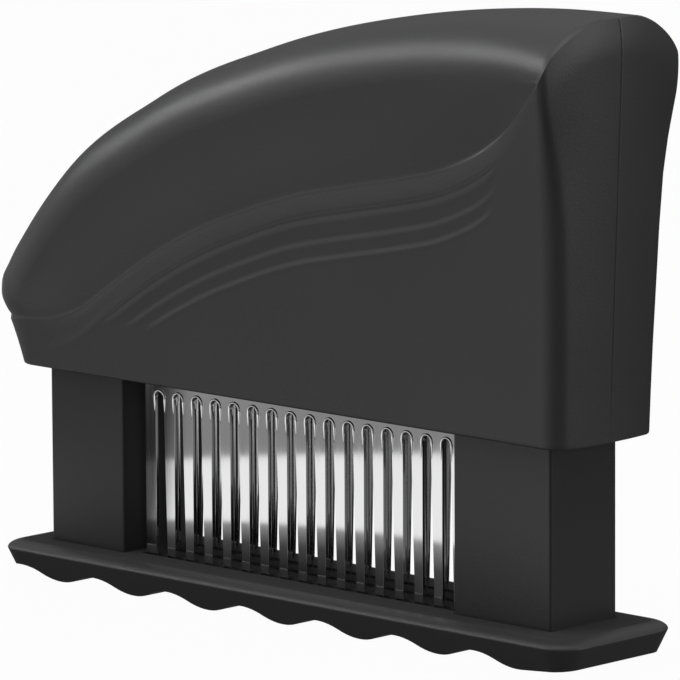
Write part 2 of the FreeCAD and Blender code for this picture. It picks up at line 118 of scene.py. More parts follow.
def smooth_through(knots, x):
    """Cubic Hermite curve through the knots' rows, with the slopes of the chords on both sides."""
    key, rows = knots[:, 0], knots[:, 1:]
    slope = np.gradient(rows, key, axis=0)
    i = np.clip(np.searchsorted(key, x) - 1, 0, len(key) - 2)
    step = key[i + 1] - key[i]
    t = np.clip((x - key[i]) / step, 0.0, 1.0)[..., None]
    step = step[..., None]
    return (rows[i] * (1 + 2 * t) * (1 - t) ** 2 + slope[i] * step * t * (1 - t) ** 2
            + rows[i + 1] * t ** 2 * (3 - 2 * t) + slope[i + 1] * step * t ** 2 * (t - 1))


def ease(t):
    """Smooth step from 0 to 1."""
    t = np.clip(t, 0.0, 1.0)
    return t * t * (3 - 2 * t)


def crease_z(x):
    return smooth_through(CREASE, x)[..., 0]


def end_x(z):
    return smooth_through(END_FACE, z)[..., 0]


def bell_half(z):
    return smooth_through(BELL, z)[..., 0]


def end_bow(z):
    return BOW_LOW + (BOW_HIGH - BOW_LOW) * ease((z - BOW_FROM) / BOW_SPAN)


def end_corner(z):
    return CORNER_LOW - CORNER_TAPER * ease((z - CORNER_FROM) / CORNER_SPAN)


def slip(x, drop):
    """How much wider the strip is to the left of the middle, from its upper edge on down."""
    return SLIP * np.maximum(0.0, -x) * ease((drop - SLIP_FROM) / SLIP_SPAN)


def lip_relief(x, drop):
    """How far the side stands out at a drop below the crease: the strip leans out as it goes down,
    then three lips follow, each with a short upper flank that faces up and a longer lower one."""
    d = drop - slip(x, drop)
    strip = -STRIP_LEAN * (1.0 - np.clip(d / STRIP_DEPTH, 0.0, 1.0)) ** STRIP_CURVE
    strip = strip * ease((x - STRIP_START) / STRIP_START_SPAN) * ease((STRIP_STOP - x) / STRIP_STOP_SPAN)
    start = np.interp(d, LIP_ENDS[:, 0], LIP_ENDS[:, 1])
    stop = np.interp(d, LIP_ENDS[:, 0], LIP_ENDS[:, 2])
    fade = ease((x - start) / LIP_START_FADE) * ease((stop - x) / LIP_STOP_FADE)
    return strip + LIP_HEIGHT * fade * np.interp(d, LIP_PROFILE[:, 0], LIP_PROFILE[:, 1])


def lower_outline(part, s, z, relief):
    """Plan of the lower body at height z: the left end turns from a round nose above to a square
    end with small corners below; the side is straight and flares towards the end; the end face is
    bowed. part 0, 1, 2 is left end, side, end face, and s runs through each from left to right."""
    nose_top = NOSE_LOW + NOSE_RISE
    low = np.clip((nose_top - z) / (nose_top - SKIRT_LOW), 0.0, 1.0) ** NOSE_CURVE
    if part == 0:
        square = np.clip(s / (np.pi / 4), 0.0, 1.0)
        corner = np.clip(s / (np.pi / 4) - 1.0, 0.0, 1.0) * np.pi / 2
        x_square = NOSE_X + NOSE_SHIFT - LOW_CORNER * np.cos(corner) - LOW_BOW * (1 - square ** 2)
        y_square = (SKIRT_HALF - LOW_CORNER) * square + LOW_CORNER * np.sin(corner)
        x_round = NOSE_X - NOSE_REACH * np.cos(s) ** NOSE_FULL
        y_round = SKIRT_HALF * np.sin(s) ** NOSE_FULL
        return x_round + (x_square - x_round) * low, y_round + (y_square - y_round) * low
    half, corner = bell_half(z), end_corner(z)
    if part == 1:
        x_left = NOSE_X + NOSE_SHIFT * low
        x_right = end_x(z) - end_bow(z) - corner
        x = x_left + (x_right - x_left) * s
        flare = np.clip((x - FLARE_FROM) / (x_right - FLARE_FROM), 0.0, 1.0) ** FLARE_CURVE
        return x, SKIRT_HALF + (half - SKIRT_HALF) * flare + relief
    y = half * np.sin(s)
    over = np.clip(corner - (half - y), 0.0, corner)
    x = end_x(z) - end_bow(z) * np.sin(s) ** 2 - (corner - np.sqrt(corner ** 2 - over ** 2))
    return x, y


def shell_grids():
    """Front half of the handle as two grids that meet at the foot of the grip: the grip from the
    seam down to the crease, and the lower part from the crease to the open bottom edge."""
    n_arc, n_side = len(ARC) - 1, len(ALONG)
    nose, flank, rim = slice(0, n_arc), slice(n_arc, n_arc + n_side), slice(n_arc + n_side, None)
    nose_turn, rim_turn = ARC[:-1], ARC[::-1][1:]
    side_x = NOSE_X + (SIDE_END - NOSE_X) * ALONG
    z_side = crease_z(side_x)
    # the edge of the crease, once round: left end, side, end face
    z_nose = NOSE_LOW + NOSE_RISE * (1 - np.cos(nose_turn))
    z_rim = RIM_LOW + RIM_RISE * np.cos(rim_turn) + smooth_through(RIM_FULL, np.degrees(rim_turn))[:, 0]
    z_edge = np.concatenate([z_nose, z_side, z_rim])
    slip_x = np.concatenate([np.zeros(n_arc), side_x, np.zeros(n_arc)])
    room = np.clip((z_edge - SKIRT_LOW - ROOM_BELOW) / (DROPS[-1] + ROOM_SPARE), ROOM_LEAST, 1.0)
    down = [z_edge - (drop + slip(slip_x, drop)) * room for drop in DROPS]
    last = down[-1]
    down += [last + (SKIRT_LOW + EDGE_ROWS[0][0] - last) * t for t in SKIRT_STEPS]
    tuck = np.concatenate([np.zeros(len(down)), [inward for _, inward in EDGE_ROWS]])
    z_rows = np.array(down + [np.full_like(last, SKIRT_LOW + height) for height, _ in EDGE_ROWS])
    lower = []
    for part, s, here in ((0, nose_turn, nose), (1, ALONG, flank), (2, rim_turn, rim)):
        z = z_rows[:, here]
        relief = lip_relief(side_x, z_side - z) if part == 1 else 0.0
        x, y = lower_outline(part, s, z, relief)
        if part == 2:
            below_rim = np.clip(1.0 - (z_rim - z) / DOME_DEPTH, 0.0, 1.0) ** 2
            x = x - DOME * np.cos(s) ** DOME_FULL * below_rim
        lower.append(np.stack([x, y * (1 - tuck[:, None] / SKIRT_HALF), z], -1))
    lower = np.concatenate(lower, axis=1)
    # the rounded ledge at the crease, and the foot of the grip behind it
    top = lower[0].copy()
    inward = np.zeros_like(top)
    inward[nose, 0] = NOSE_LEDGE * np.cos(nose_turn)
    inward[nose, 1] = -LEDGE * np.sin(nose_turn) ** 4
    inward[flank, 0] = -LEDGE_BACK * ease((side_x - LEDGE_BACK_FROM) / (SIDE_END - LEDGE_BACK_FROM))
    inward[flank, 1] = -LEDGE - LEDGE_GROWTH * ease((side_x - LEDGE_FROM) / LEDGE_SPAN)
    inward[rim, 0] = -RIM_LEDGE_X * (1 - np.sin(rim_turn) ** 6)
    inward[rim, 1] = -RIM_LEDGE_Y * np.sin(rim_turn) ** 2
    rise = np.ones(len(top))
    rise[rim] = np.sin(rim_turn)
    ledge = []
    for share, height in LEDGE_ROWS:
        row = top + inward * share
        row[:, 2] = top[:, 2] + height * LEDGE_RISE * rise
        if share < 1:
            row[rim, 2] += RIM_LEDGE_ROUND * (share - 0.5) * np.cos(rim_turn)
        ledge.append(row)
    foot = ledge[-1]
    # the grip: a quarter ellipse from the roof to the side, then a wall down to its foot
    roof_x, roof_z, side_at, side_z = smooth_through(RIBS, side_x).T
    flare = np.clip((side_at - GRIP_FLARE_FROM) / (SIDE_END - GRIP_FLARE_FROM), 0.0, 1.0)
    half = GRIP_HALF + (RIM_HALF - INSIDE_RIM - GRIP_HALF) * flare ** GRIP_FLARE_CURVE
    half += (SKIRT_HALF - INSIDE_NOSE - GRIP_HALF) * (1.0 - ease((side_x - NOSE_X) / NOSE_BLEND))
    turn = ARC[:, None]
    upper = np.stack([side_at + (roof_x - side_at) * np.cos(turn), half * np.sin(turn),
                      side_z + (roof_z - side_z) * np.cos(turn)], -1)
    nose_edge = np.concatenate([foot[nose], foot[flank][:1]])
    rim_edge = np.concatenate([foot[flank][-1:], foot[rim]])[::-1]
    at_nose = np.clip(1.0 - (side_x - NOSE_X) / NOSE_TIE, 0.0, 1.0) ** NOSE_TIE_CURVE
    at_rim = np.clip((side_x - RIM_TIE_FROM) / (SIDE_END - RIM_TIE_FROM), 0.0, 1.0) ** RIM_TIE_CURVE
    upper = upper + (nose_edge - upper[:, 0])[:, None] * at_nose[None, :, None]
    upper = upper + (rim_edge - upper[:, -1])[:, None] * at_rim[None, :, None]
    side, side_foot = upper[-1], foot[flank]
    wall = []
    for t in WALL_STEPS:
        row = side + (side_foot - side) * t
        row[:, 1] = side[:, 1] + (side_foot[:, 1] - side[:, 1]) * ease(t) * (0.75 + 0.25 * t)
        wall.append(row)
    grip = np.concatenate([upper, np.array(wall), side_foot[None]])
    return grip, np.concatenate([np.array(ledge)[::-1], lower])


def grid_faces(rows, columns, first=0):
    """Quads of a grid whose vertices are counted row by row."""
    index = first + np.arange(rows * columns).reshape(rows, columns)
    quads = np.stack([index[:-1, :-1], index[:-1, 1:], index[1:, 1:], index[1:, :-1]], -1)
    return quads.reshape(-1, 4)


def tube_faces(rings, sides, first=0):
    """Quads of a closed tube whose vertices are counted ring by ring, and its two end caps."""
    index = first + np.arange(rings * sides).reshape(rings, sides)
    after = np.roll(index, -1, 1)
    quads = np.stack([index[:-1], after[:-1], after[1:], index[1:]], -1).reshape(-1, 4)
    return quads.tolist() + [index[0, ::-1].tolist(), index[-1].tolist()]


def to_frame(points):
    return (np.asarray(points, float).reshape(-1, 3) + (CREST_TO_MIDDLE, 0.0, 0.0)) * MM


def new_piece(name, points, faces, smooth=True, weld=1e-6):
    """Mesh object from millimetre points and faces, doubles merged, its place in its mesh."""
    mesh = bpy.data.meshes.new(name)
    mesh.from_pydata(to_frame(points).tolist(), [], [list(map(int, f)) for f in faces])
    mesh.update()
    work = bmesh.new()
    work.from_mesh(mesh)
    bmesh.ops.remove_doubles(work, verts=work.verts, dist=weld)
    bmesh.ops.dissolve_degenerate(work, edges=work.edges, dist=1e-7)
    work.to_mesh(mesh)
    work.free()
    mesh.polygons.foreach_set("use_smooth", [smooth] * len(mesh.polygons))
    piece = bpy.data.objects.new(name, mesh)
    bpy.context.scene.collection.objects.link(piece)
    return piece


def vertex_rows(piece, what):
    """Places ("co") or normals ("normal") of the piece's vertices, one row each, in metres."""
    values = np.empty(len(piece.data.vertices) * 3)
    piece.data.vertices.foreach_get(what, values)
    return values.reshape(-1, 3)


def apply_modifiers(piece):
    """The piece keeps the mesh that its modifiers give."""
    depsgraph = bpy.context.evaluated_depsgraph_get()
    done = bpy.data.meshes.new_from_object(piece.evaluated_get(depsgraph), depsgraph=depsgraph)
    piece.modifiers.clear()
    old = piece.data
    piece.data = done
    bpy.data.meshes.remove(old)


def shade_by_angle(piece, degrees):
    """Smooth faces, with the edges over the angle kept sharp."""
    work = bmesh.new()
    work.from_mesh(piece.data)
    limit = float(np.radians(degrees))
    for edge in work.edges:
        edge.smooth = len(edge.link_faces) != 2 or edge.calc_face_angle(0.0) < limit
    for face in work.faces:
        face.smooth = True
    work.to_mesh(piece.data)
    work.free()


def face_outward(piece):
    """Turns the faces of a closed piece so that they all look outward."""
    work = bmesh.new()
    work.from_mesh(piece.data)
    bmesh.ops.recalc_face_normals(work, faces=work.faces)
    work.to_mesh(piece.data)
    work.free()


def join_in(piece, other):
    """The other closed piece's mesh becomes part of the piece's mesh, faces turned outward."""
    face_outward(other)
    work = bmesh.new()
    work.from_mesh(other.data)
    work.from_mesh(piece.data)
    work.to_mesh(piece.data)
    work.free()
    bpy.data.objects.remove(other)


def cut_out(piece, cutters, solver="EXACT"):
    """Takes the closed cutter pieces away from the piece and removes them."""
    for cutter in cutters:
        cut = piece.modifiers.new("cut", "BOOLEAN")
        cut.operation, cut.solver, cut.object = "DIFFERENCE", solver, cutter
        apply_modifiers(piece)
        bpy.data.objects.remove(cutter)


def turned(name, centre, axis, profile, sides=40, least=1e-4):
    """Closed turned piece: (radius, height) profile spun round an axis 'y' or 'z' from a centre;
    a point on the axis gets the least radius."""
    angle = np.linspace(0.0, 2 * np.pi, sides, endpoint=False)
    radius, height = np.array(profile, float).T[:, :, None]
    radius = np.maximum(radius, least)
    a, b, h = radius * np.cos(angle), radius * np.sin(angle), height + 0.0 * angle
    rings = np.stack((a, b, h) if axis == "z" else (b, h, a), -1) + centre
    return new_piece(name, rings.reshape(-1, 3), tube_faces(len(profile), sides))


grip, lower = shell_grids()
body_points = np.concatenate([grip.reshape(-1, 3), lower.reshape(-1, 3)])
body_faces = np.concatenate([grid_faces(*grip.shape[:2]),
                             grid_faces(*lower.shape[:2], grip.shape[0] * grip.shape[1])])[:, ::-1]
# half the gap at the seam and the rounding of its edges above SEAM_FROM
SEAM_GAP, SEAM_ROUND, SEAM_FROM = 0.012, 0.1, 50.5
# least distance of the inner wall from the outer surface, tested above and right of these
INNER_CLEAR, INNER_FROM_X, INNER_FROM_Z = 1.3, 60.0, 47.5
shells = []
for side, node in ((-1, "handle_front_shell"), (1, "handle_back_shell")):
    points = body_points.copy()
    points[:, 1] = side * np.maximum(points[:, 1], SEAM_GAP)
    faces = body_faces if side < 0 else body_faces[:, ::-1]
    shell = new_piece(node.replace("handle", "grip"), points, faces)
    place, normal = vertex_rows(shell, "co"), vertex_rows(shell, "normal")
    count = len(place)
    sunk = np.clip(1.0 - (np.abs(place[:, 1]) / MM - SEAM_GAP) / SEAM_ROUND, 0.0, 1.0) ** 2
    sunk *= place[:, 2] > SEAM_FROM * MM
    normal[:, 1] = 0.0
    place -= normal * (SEAM_ROUND * MM * sunk)[:, None]
    shell.data.vertices.foreach_set("co", place.ravel())
    wall = shell.modifiers.new("wall", "SOLIDIFY")
    wall.thickness, wall.offset = SHELL_WALL * MM, -1.0
    apply_modifiers(shell)
    # the inner wall stays inside the outer one where the surface turns sharply
    place = vertex_rows(shell, "co")
    x, y, z = (place[count:] / MM - (CREST_TO_MIDDLE, 0.0, 0.0)).T
    half = bell_half(z)
    reach = end_x(z) - end_bow(z) * np.clip(np.abs(y) / half, 0, 1) ** 2 - INNER_CLEAR
    tested = (x > INNER_FROM_X) & (z > INNER_FROM_Z)
    x = np.where(tested, np.minimum(x, reach), x)
    y = np.where(tested, np.clip(y, INNER_CLEAR - half, half - INNER_CLEAR), y)
    place[count:] = to_frame(np.column_stack([x, y, z]))
    shell.data.vertices.foreach_set("co", place.ravel())
    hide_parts(node)
    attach(shell, "handle")
    shells.append(shell)


def skin_depth(shell, side, x, z, radius, count=12, outside=40.0):
    """Least distance of the shell's outer surface from the seam round a circle at x, z."""
    turn = np.linspace(0, 2 * np.pi, count, endpoint=False)
    ring = to_frame(np.column_stack([x + radius * np.cos(turn), np.full(count, side * outside),
                                     z + radius * np.sin(turn)]))
    hits = [shell.ray_cast(Vector(start), Vector((0, -side, 0))) for start in ring.tolist()]
    return min(abs(hit[1].y) / MM for hit in hits if hit[0])


# screw bosses inside both shells; the back ones end in open recesses for the heads
SHELL_SCREWS = ((-77.5, 62.0), (-40.0, 73.0), (34.0, 74.5), (0.0, 103.0), (69.0, 110.0))
BOSS_RADIUS, BOSS_FOOT, BOSS_BELOW_SKIN = 3.6, 0.3, 0.7
RECESS_RADIUS, RECESS_FLOOR, RECESS_CUT = 3.0, 5.5, 30.0
SHELL_SHARP = 50
for side, shell in zip((-1, 1), shells):
    for x, z in SHELL_SCREWS:
        top = skin_depth(shell, side, x, z, BOSS_RADIUS) - BOSS_BELOW_SKIN
        profile = [(0.0, side * BOSS_FOOT), (BOSS_RADIUS, side * BOSS_FOOT), (BOSS_RADIUS, side * top)]
        if side < 0:
            profile += [(0.0, -top)]
        else:
            recess = ((RECESS_RADIUS, 0.0), (RECESS_RADIUS, RECESS_CUT))
            cut_out(shell, [turned("recess", (x, RECESS_FLOOR, z), "y", recess)], "MANIFOLD")
            profile += [(RECESS_RADIUS, top), (RECESS_RADIUS, RECESS_FLOOR), (0.0, RECESS_FLOOR)]
        join_in(shell, turned("boss", (x, 0.0, z), "y", profile))
    shade_by_angle(shell, SHELL_SHARP)


def set_inputs(tree, node, inputs):
    """Each named input of the node gets its value, or a link where the value is a socket."""
    for name, value in inputs.items():
        if isinstance(value, bpy.types.NodeSocket):
            tree.links.new(value, node.inputs[name])
        else:
            node.inputs[name].default_value = value


def add_node(tree, kind, inputs, **settings):
    """New shader node with its settings and inputs."""
    node = tree.nodes.new("ShaderNode" + kind)
    for name, value in settings.items():
        setattr(node, name, value)
    set_inputs(tree, node, inputs)
    return node


def range_node(tree, value, low, high, start=0.0, stop=1.0):
    """Runs from low to high as the value runs from start to stop."""
    return add_node(tree, "MapRange", {"Value": value, "From Min": start, "From Max": stop,
                                       "To Min": low, "To Max": high}).outputs["Result"]


def noise_node(tree, place, scale, detail=2.0):
    noise = add_node(tree, "TexNoise", {"Vector": place, "Scale": scale, "Detail": detail})
    return noise.outputs["Fac"]


def new_material(name, metallic=0.0):
    """New material: itself, its node tree, its shader, and the socket of the object's own place."""
    material = bpy.data.materials.new(name)
    material.use_nodes = True
    tree = material.node_tree
    shader = tree.nodes["Principled BSDF"]
    shader.inputs["Metallic"].default_value = metallic
    return material, tree, shader, add_node(tree, "TexCoord", {}).outputs["Object"]


def link_finish(tree, shader, colour, level, haze, height=None, strength=0.0, depth=0.0):
    """Links a level times the colour, a roughness, and a bump from a height to the shader."""
    tone = add_node(tree, "VectorMath", {0: colour, "Scale": level}, operation="SCALE")
    set_inputs(tree, shader, {"Base Color": tone.outputs["Vector"], "Roughness": haze})
    if height is not None:
        relief = add_node(tree, "Bump", {"Strength": strength, "Distance": depth, "Height": height})
        set_inputs(tree, shader, {"Normal": relief.outputs["Normal"]})


CLOUD_SCALE, CLOUD_DETAIL, CLOUD_RANGE = 38.0, 4.0, (0.35, 0.65)
GRAIN_SCALE, GRAIN_GLOSS, GRAIN_DEPTH = 2600.0, 0.05, 0.00006


def plastic(name, colour, roughness, bump, mottle=0.06):
    """Moulded plastic: faint cloudy tone, fine pebbled grain in the bump and in the gloss."""
    material, tree, shader, place = new_material(name)
    cloud = noise_node(tree, place, CLOUD_SCALE, CLOUD_DETAIL)
    pebble = noise_node(tree, place, GRAIN_SCALE)
    link_finish(tree, shader, colour, range_node(tree, cloud, 1 - mottle, 1 + mottle, *CLOUD_RANGE),
           range_node(tree, pebble, roughness - GRAIN_GLOSS, roughness + GRAIN_GLOSS),
           pebble, bump, GRAIN_DEPTH)
    return material


def dress(piece, material):
    """The whole piece in one material."""
    piece.data.materials.clear()
    piece.data.materials.append(material)
    piece.data.polygons.foreach_set("material_index", np.zeros(len(piece.data.polygons), np.int32))


HANDLE_BLACK, HANDLE_ROUGHNESS, HANDLE_BUMP = (0.0195, 0.0195, 0.02), 0.44, 0.5
handle_plastic = plastic("satin_nylon", HANDLE_BLACK, HANDLE_ROUGHNESS, HANDLE_BUMP)
for shell in shells:
    dress(shell, handle_plastic)

# ==== Guides inside the handle ================================================================
# Strips that guide the columns, pads and bosses that hold the combs' pins, the seats of the
# springs and the shelf above the right one, moulded with the shells in the same plastic.
PAIRED_GUIDES = (((-67.0, -65.0), (9.7, 12.6), (44.0, 51.0)), ((-54.3, -52.3), (9.7, 12.6), (44.0, 51.0)),
                 ((44.7, 46.7), (9.7, 12.6), (44.0, 62.0)), ((62.1, 64.1), (9.7, 13.0), (44.0, 62.0)),
                 ((-44.6, -42.2), (6.7, 12.6), (46.0, 63.0)), ((-20.5, -18.1), (6.7, 12.6), (46.0, 64.0)),
                 ((12.0, 14.4), (6.7, 12.6), (46.0, 64.0)), ((37.35, 39.75), (6.7, 12.6), (46.0, 64.0)))
CROSS_GUIDES = (((-74.0, -70.3), (-5.0, 5.0), (44.0, 51.0)), ((67.4, 73.0), (-6.0, 6.0), (44.0, 53.9)),
                ((-49.0, -46.0), (-12.6, 12.6), (46.0, 53.9)), ((41.1, 41.4), (-12.6, 12.6), (46.0, 62.0)),
                ((40.0, 71.0), (-11.5, 11.5), (97.0, 99.2)))
# X of a spring's seat and the height of its top
SEATS = ((-59.65, 82.4), (54.4, 97.2))
SEAT_RADIUS, SEAT_FLOOR = 6.4, 80.5
PIN_X, PIN_Z, PIN_BOSS, PIN_BOSS_Y = (-36.0, -3.4, 29.0), 56.0, 3.6, (6.6, 12.4)


def block(name, x, y, z):
    """Closed box between two corners."""
    corners = [(x[i], y[j], z[k]) for i in (0, 1) for j in (0, 1) for k in (0, 1)]
    quads = [(0, 1, 3, 2), (4, 6, 7, 5), (0, 4, 5, 1), (2, 3, 7, 6), (0, 2, 6, 4), (1, 5, 7, 3)]
    return new_piece(name, corners, quads, smooth=False)


guides = block("inner_guides", *CROSS_GUIDES[0])
for size in CROSS_GUIDES[1:]:
    join_in(guides, block("guide", *size))
for x, y, z in PAIRED_GUIDES:
    join_in(guides, block("guide", x, y, z))
    join_in(guides, block("guide", x, (-y[1], -y[0]), z))
for x, top in SEATS:
    profile = ((SEAT_RADIUS, SEAT_FLOOR), (SEAT_RADIUS, top))
    join_in(guides, turned("seat", (x, 0.0, 0.0), "z", profile))
for x in PIN_X:
    for side in (-1, 1):
        profile = [(PIN_BOSS, side * y) for y in PIN_BOSS_Y]
        join_in(guides, turned("pin_boss", (x, 0.0, PIN_Z), "y", profile))
dress(guides, handle_plastic)
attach(guides, "handle")

# ==== Foot plate ==============================================================================
# Guard plate moulded in glossy black plastic: a shallow skirt that leans in below a sharp rim,
# a round shoulder, a wavy underside that stands on its crests, and three long blade slits.
PITCH, WAVE, LAND = 20.9, 2.4, 0.015
TAIL_FROM, TAIL_RISE, TAIL_SLOPE = 1.6, 0.09, 0.092
FOOT_X = (-79.2, 77.3)
FOOT_HALF, FOOT_CORNER, SPINE_INSET = 16.6, 6.0, 16.0
FOOT_RIM, FOOT_TOP, FOOT_SHOULDER, FOOT_UNDERCUT, RIM_EDGE = 5.45, 7.2, 5.0, 2.6, 0.12
ROWS = (-6.2, 0.0, 6.2)
SLIT_X, SLIT_HALF, SLIT_CUT = (-46.6, 41.75), 1.0, (-3.0, 12.0)
COLUMNS = ((-70.0, -49.3), (41.7, 67.1))
COLUMN_HALF, SOCKET_FIT, SOCKET_CUT = 9.4, 0.1, (5.4, 12.0)
# (radius, height) down the counterbored holes of the column screws, and where they are
COLUMN_BORE = ((3.0, -2.0), (3.0, 3.0), (1.7, 3.0), (1.7, 6.5))
COLUMN_SCREW_X, COLUMN_SCREW_Y = (-3 * PITCH, 3 * PITCH), (-4.8, 4.8)
PLATE_SHARP = 32


def underside(x):
    """Height of the wavy underside: arcs of one radius, low after the last crest on the right."""
    radius = (PITCH ** 2 / 16 + WAVE ** 2 / 4) / WAVE
    near = np.abs(x - PITCH * np.round(x / PITCH))
    crest = radius - np.sqrt(radius ** 2 - np.minimum(near, PITCH / 4) ** 2)
    dip = WAVE - (radius - np.sqrt(radius ** 2 - np.minimum(PITCH / 2 - near, PITCH / 4) ** 2))
    z = np.where(near < PITCH / 4, crest, dip)
    tail = x - 3 * PITCH - TAIL_FROM
    z = np.where(tail > 0, TAIL_RISE + TAIL_SLOPE * tail, z)
    return np.maximum(z - LAND, 0.0)


def rounded_outline(inset, side_points=150, corner_points=14, end_points=22):
    """Closed plan outline, counter-clockwise, a rectangle with round corners moved in by inset."""
    x0, x1 = FOOT_X[0] + inset, FOOT_X[1] - inset
    half, radius = FOOT_HALF - inset, FOOT_CORNER - inset
    out = []
    sides = ((x0 + radius, -half, x1 - radius, -half, side_points),
             (x1, -half + radius, x1, half - radius, end_points),
             (x1 - radius, half, x0 + radius, half, side_points),
             (x0, half - radius, x0, -half + radius, end_points))
    centres = ((x1 - radius, -half + radius, -90), (x1 - radius, half - radius, 0),
               (x0 + radius, half - radius, 90), (x0 + radius, -half + radius, 180))
    for (xa, ya, xb, yb, count), (cx, cy, start) in zip(sides, centres):
        t = np.linspace(0, 1, count, endpoint=False)
        out.append(np.stack([xa + (xb - xa) * t, ya + (yb - ya) * t], -1))
        a = np.radians(start + np.linspace(0, 90, corner_points, endpoint=False))
        out.append(np.stack([cx + radius * np.cos(a), cy + radius * np.sin(a)], -1))
    return np.concatenate(out)


def ring_at(outline, z):
    """Ring of points over a plan outline, at a height or at one height each."""
    return np.column_stack([outline, np.broadcast_to(z, len(outline))])


# rings from the middle of the underside out, up the skirt, over the shoulder and in again
full, under, flat = rounded_outline(0.0), rounded_outline(FOOT_UNDERCUT), rounded_outline(FOOT_SHOULDER)
spine_x = np.clip(full[:, 0], FOOT_X[0] + SPINE_INSET, FOOT_X[1] - SPINE_INSET)
spine = np.stack([spine_x, 0 * spine_x], -1)
low = full + (under - full) * ((FOOT_RIM - underside(under[:, 0])) / FOOT_RIM)[:, None]
rings = []
for t in np.linspace(0.02, 0.985, 12):
    xy = spine + (low - spine) * t
    rings.append(ring_at(xy, underside(xy[:, 0])))
edge_z = underside(low[:, 0])
for t in (0.0, 0.05, 0.12, 0.35, 0.6, 0.85, 0.95, 1.0):
    z = edge_z + (FOOT_RIM - RIM_EDGE - edge_z) * t
    rings.append(ring_at(full + (under - full) * ((FOOT_RIM - z) / FOOT_RIM)[:, None], z))
for turn in np.radians(np.concatenate([[2.0], np.linspace(8, 90, 12)])):
    rings.append(ring_at(rounded_outline(FOOT_SHOULDER * (1 - np.cos(turn))),
                         FOOT_RIM + (FOOT_TOP - FOOT_RIM) * np.sin(turn)))
for t in (0.8, 0.5, 0.02):
    rings.append(ring_at(spine + (flat - spine) * t, FOOT_TOP))
plate = new_piece("guard_plate", np.concatenate(rings), tube_faces(len(rings), len(full)))


def slit_cutter(name, row):
    """Upright prism with round ends for one blade slit."""
    turn = np.radians(np.linspace(-90, 90, 15))
    along, across = SLIT_HALF * np.cos(turn), SLIT_HALF * np.sin(turn)
    right = np.stack([SLIT_X[1] - SLIT_HALF + along, row + across], -1)
    left = np.stack([SLIT_X[0] + SLIT_HALF - along, row - across], -1)
    loop = np.concatenate([right, left])
    points = np.concatenate([ring_at(loop, z) for z in SLIT_CUT])
    return new_piece(name, points, tube_faces(2, len(loop)), smooth=False)


cutters = [slit_cutter("slit_%d" % k, row) for k, row in enumerate(ROWS)]
socket_y = (-COLUMN_HALF - SOCKET_FIT, COLUMN_HALF + SOCKET_FIT)
cutters += [block("socket_%d" % k, (x0 - SOCKET_FIT, x1 + SOCKET_FIT), socket_y, SOCKET_CUT)
            for k, (x0, x1) in enumerate(COLUMNS)]
cutters += [turned("bore", (x, y, 0.0), "z", COLUMN_BORE) for x in COLUMN_SCREW_X for y in COLUMN_SCREW_Y]
cut_out(plate, cutters)
shade_by_angle(plate, PLATE_SHARP)
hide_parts("foot_plate")
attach(plate, "foot")
GUARD_BLACK, GUARD_ROUGHNESS, GUARD_BUMP, GUARD_MOTTLE = (0.015, 0.015, 0.0155), 0.5, 0.12, 0.03
guard = plastic("gloss_guard", GUARD_BLACK, GUARD_ROUGHNESS, GUARD_BUMP, GUARD_MOTTLE)
# the flat top between the columns is duller than the rim and the shoulder: its reflection is turned off, and
# a lighter grey stands there as painted sheen in place of it
TOP_FROM, TOP_TO, SPECULAR, TOP_PAINTED_SHEEN = 0.0066, 0.0071, 0.5, (0.04, 0.04, 0.041, 1.0)
tree = guard.node_tree
shader = tree.nodes["Principled BSDF"]
place = add_node(tree, "TexCoord", {}).outputs["Object"]
height = add_node(tree, "SeparateXYZ", {"Vector": place}).outputs["Z"]
# painted sheen: the lighter grey on the top, where its reflection is turned off
painted_sheen = add_node(tree, "MixRGB", {"Fac": range_node(tree, height, 0.0, 1.0, TOP_FROM, TOP_TO),
                                 "Color1": shader.inputs["Base Color"].links[0].from_socket,
                                 "Color2": TOP_PAINTED_SHEEN})
set_inputs(tree, shader, {"Specular IOR Level": range_node(tree, height, SPECULAR, 0.0, TOP_FROM, TOP_TO),
                          "Base Color": painted_sheen.outputs["Color"]})
dress(plate, guard)

# ==== Columns =================================================================================
# Two hollow square columns moulded in the same black plastic, screwed to the foot plate from
# below; they slide up inside the handle. Their shape comes from the frame.
COLUMN_BLACK, COLUMN_ROUGHNESS, COLUMN_BUMP = (0.015, 0.015, 0.0155), 0.32, 0.3


def recolour(node, material):
    """The frame's own solid keeps its shape and gets the material."""
    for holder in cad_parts[node].material_slots:
        holder.material = material


column_plastic = plastic("satin_column", COLUMN_BLACK, COLUMN_ROUGHNESS, COLUMN_BUMP)
for node in ("left_column", "right_column"):
    recolour(node, column_plastic)

# ==== Blade combs =============================================================================
# Three combs stamped from polished stainless sheet: tines with round-topped slots between them,
# finely ground along every edge, their points waiting inside the foot plate's slits. The rear
# comb is turned round, so its slots slant on their other side and stand a little to the right.
SLOTS, SLOT_PITCH, SLOT_0, SLOT_TOP, SLOT_TOP_HALF = 16, 5.25, -41.53, 40.5, 1.12
COMB_X, COMB_TOP, TIP, POINT, SHEET = (-45.6, 40.75), 64.0, 1.6, 4.0, 0.6
PIN_HALF, PIN_CUT, GROUND_EDGE, GROUND_ANGLE = 2.0, 4.0, 0.12, 60
# shift of the slots, and how far they reach to the left and right of their middle at the points
SLOT_SHAPES = {"front": (0.0, 1.2, 1.95), "middle": (0.0, 1.2, 1.95), "rear": (1.1, 2.2, 1.2)}
# the stamped edge stands up round the slots: its thickness, the share of that by which it stands
# out of the slot, its length and taper down the sides to a thin end, and the turn it starts at
BURR, BURR_OUT, BURR_DOWN, BURR_TAPER, BURR_END, BURR_ARCH = 0.3, 0.9, 3.2, 3.4, 0.12, 0.1302


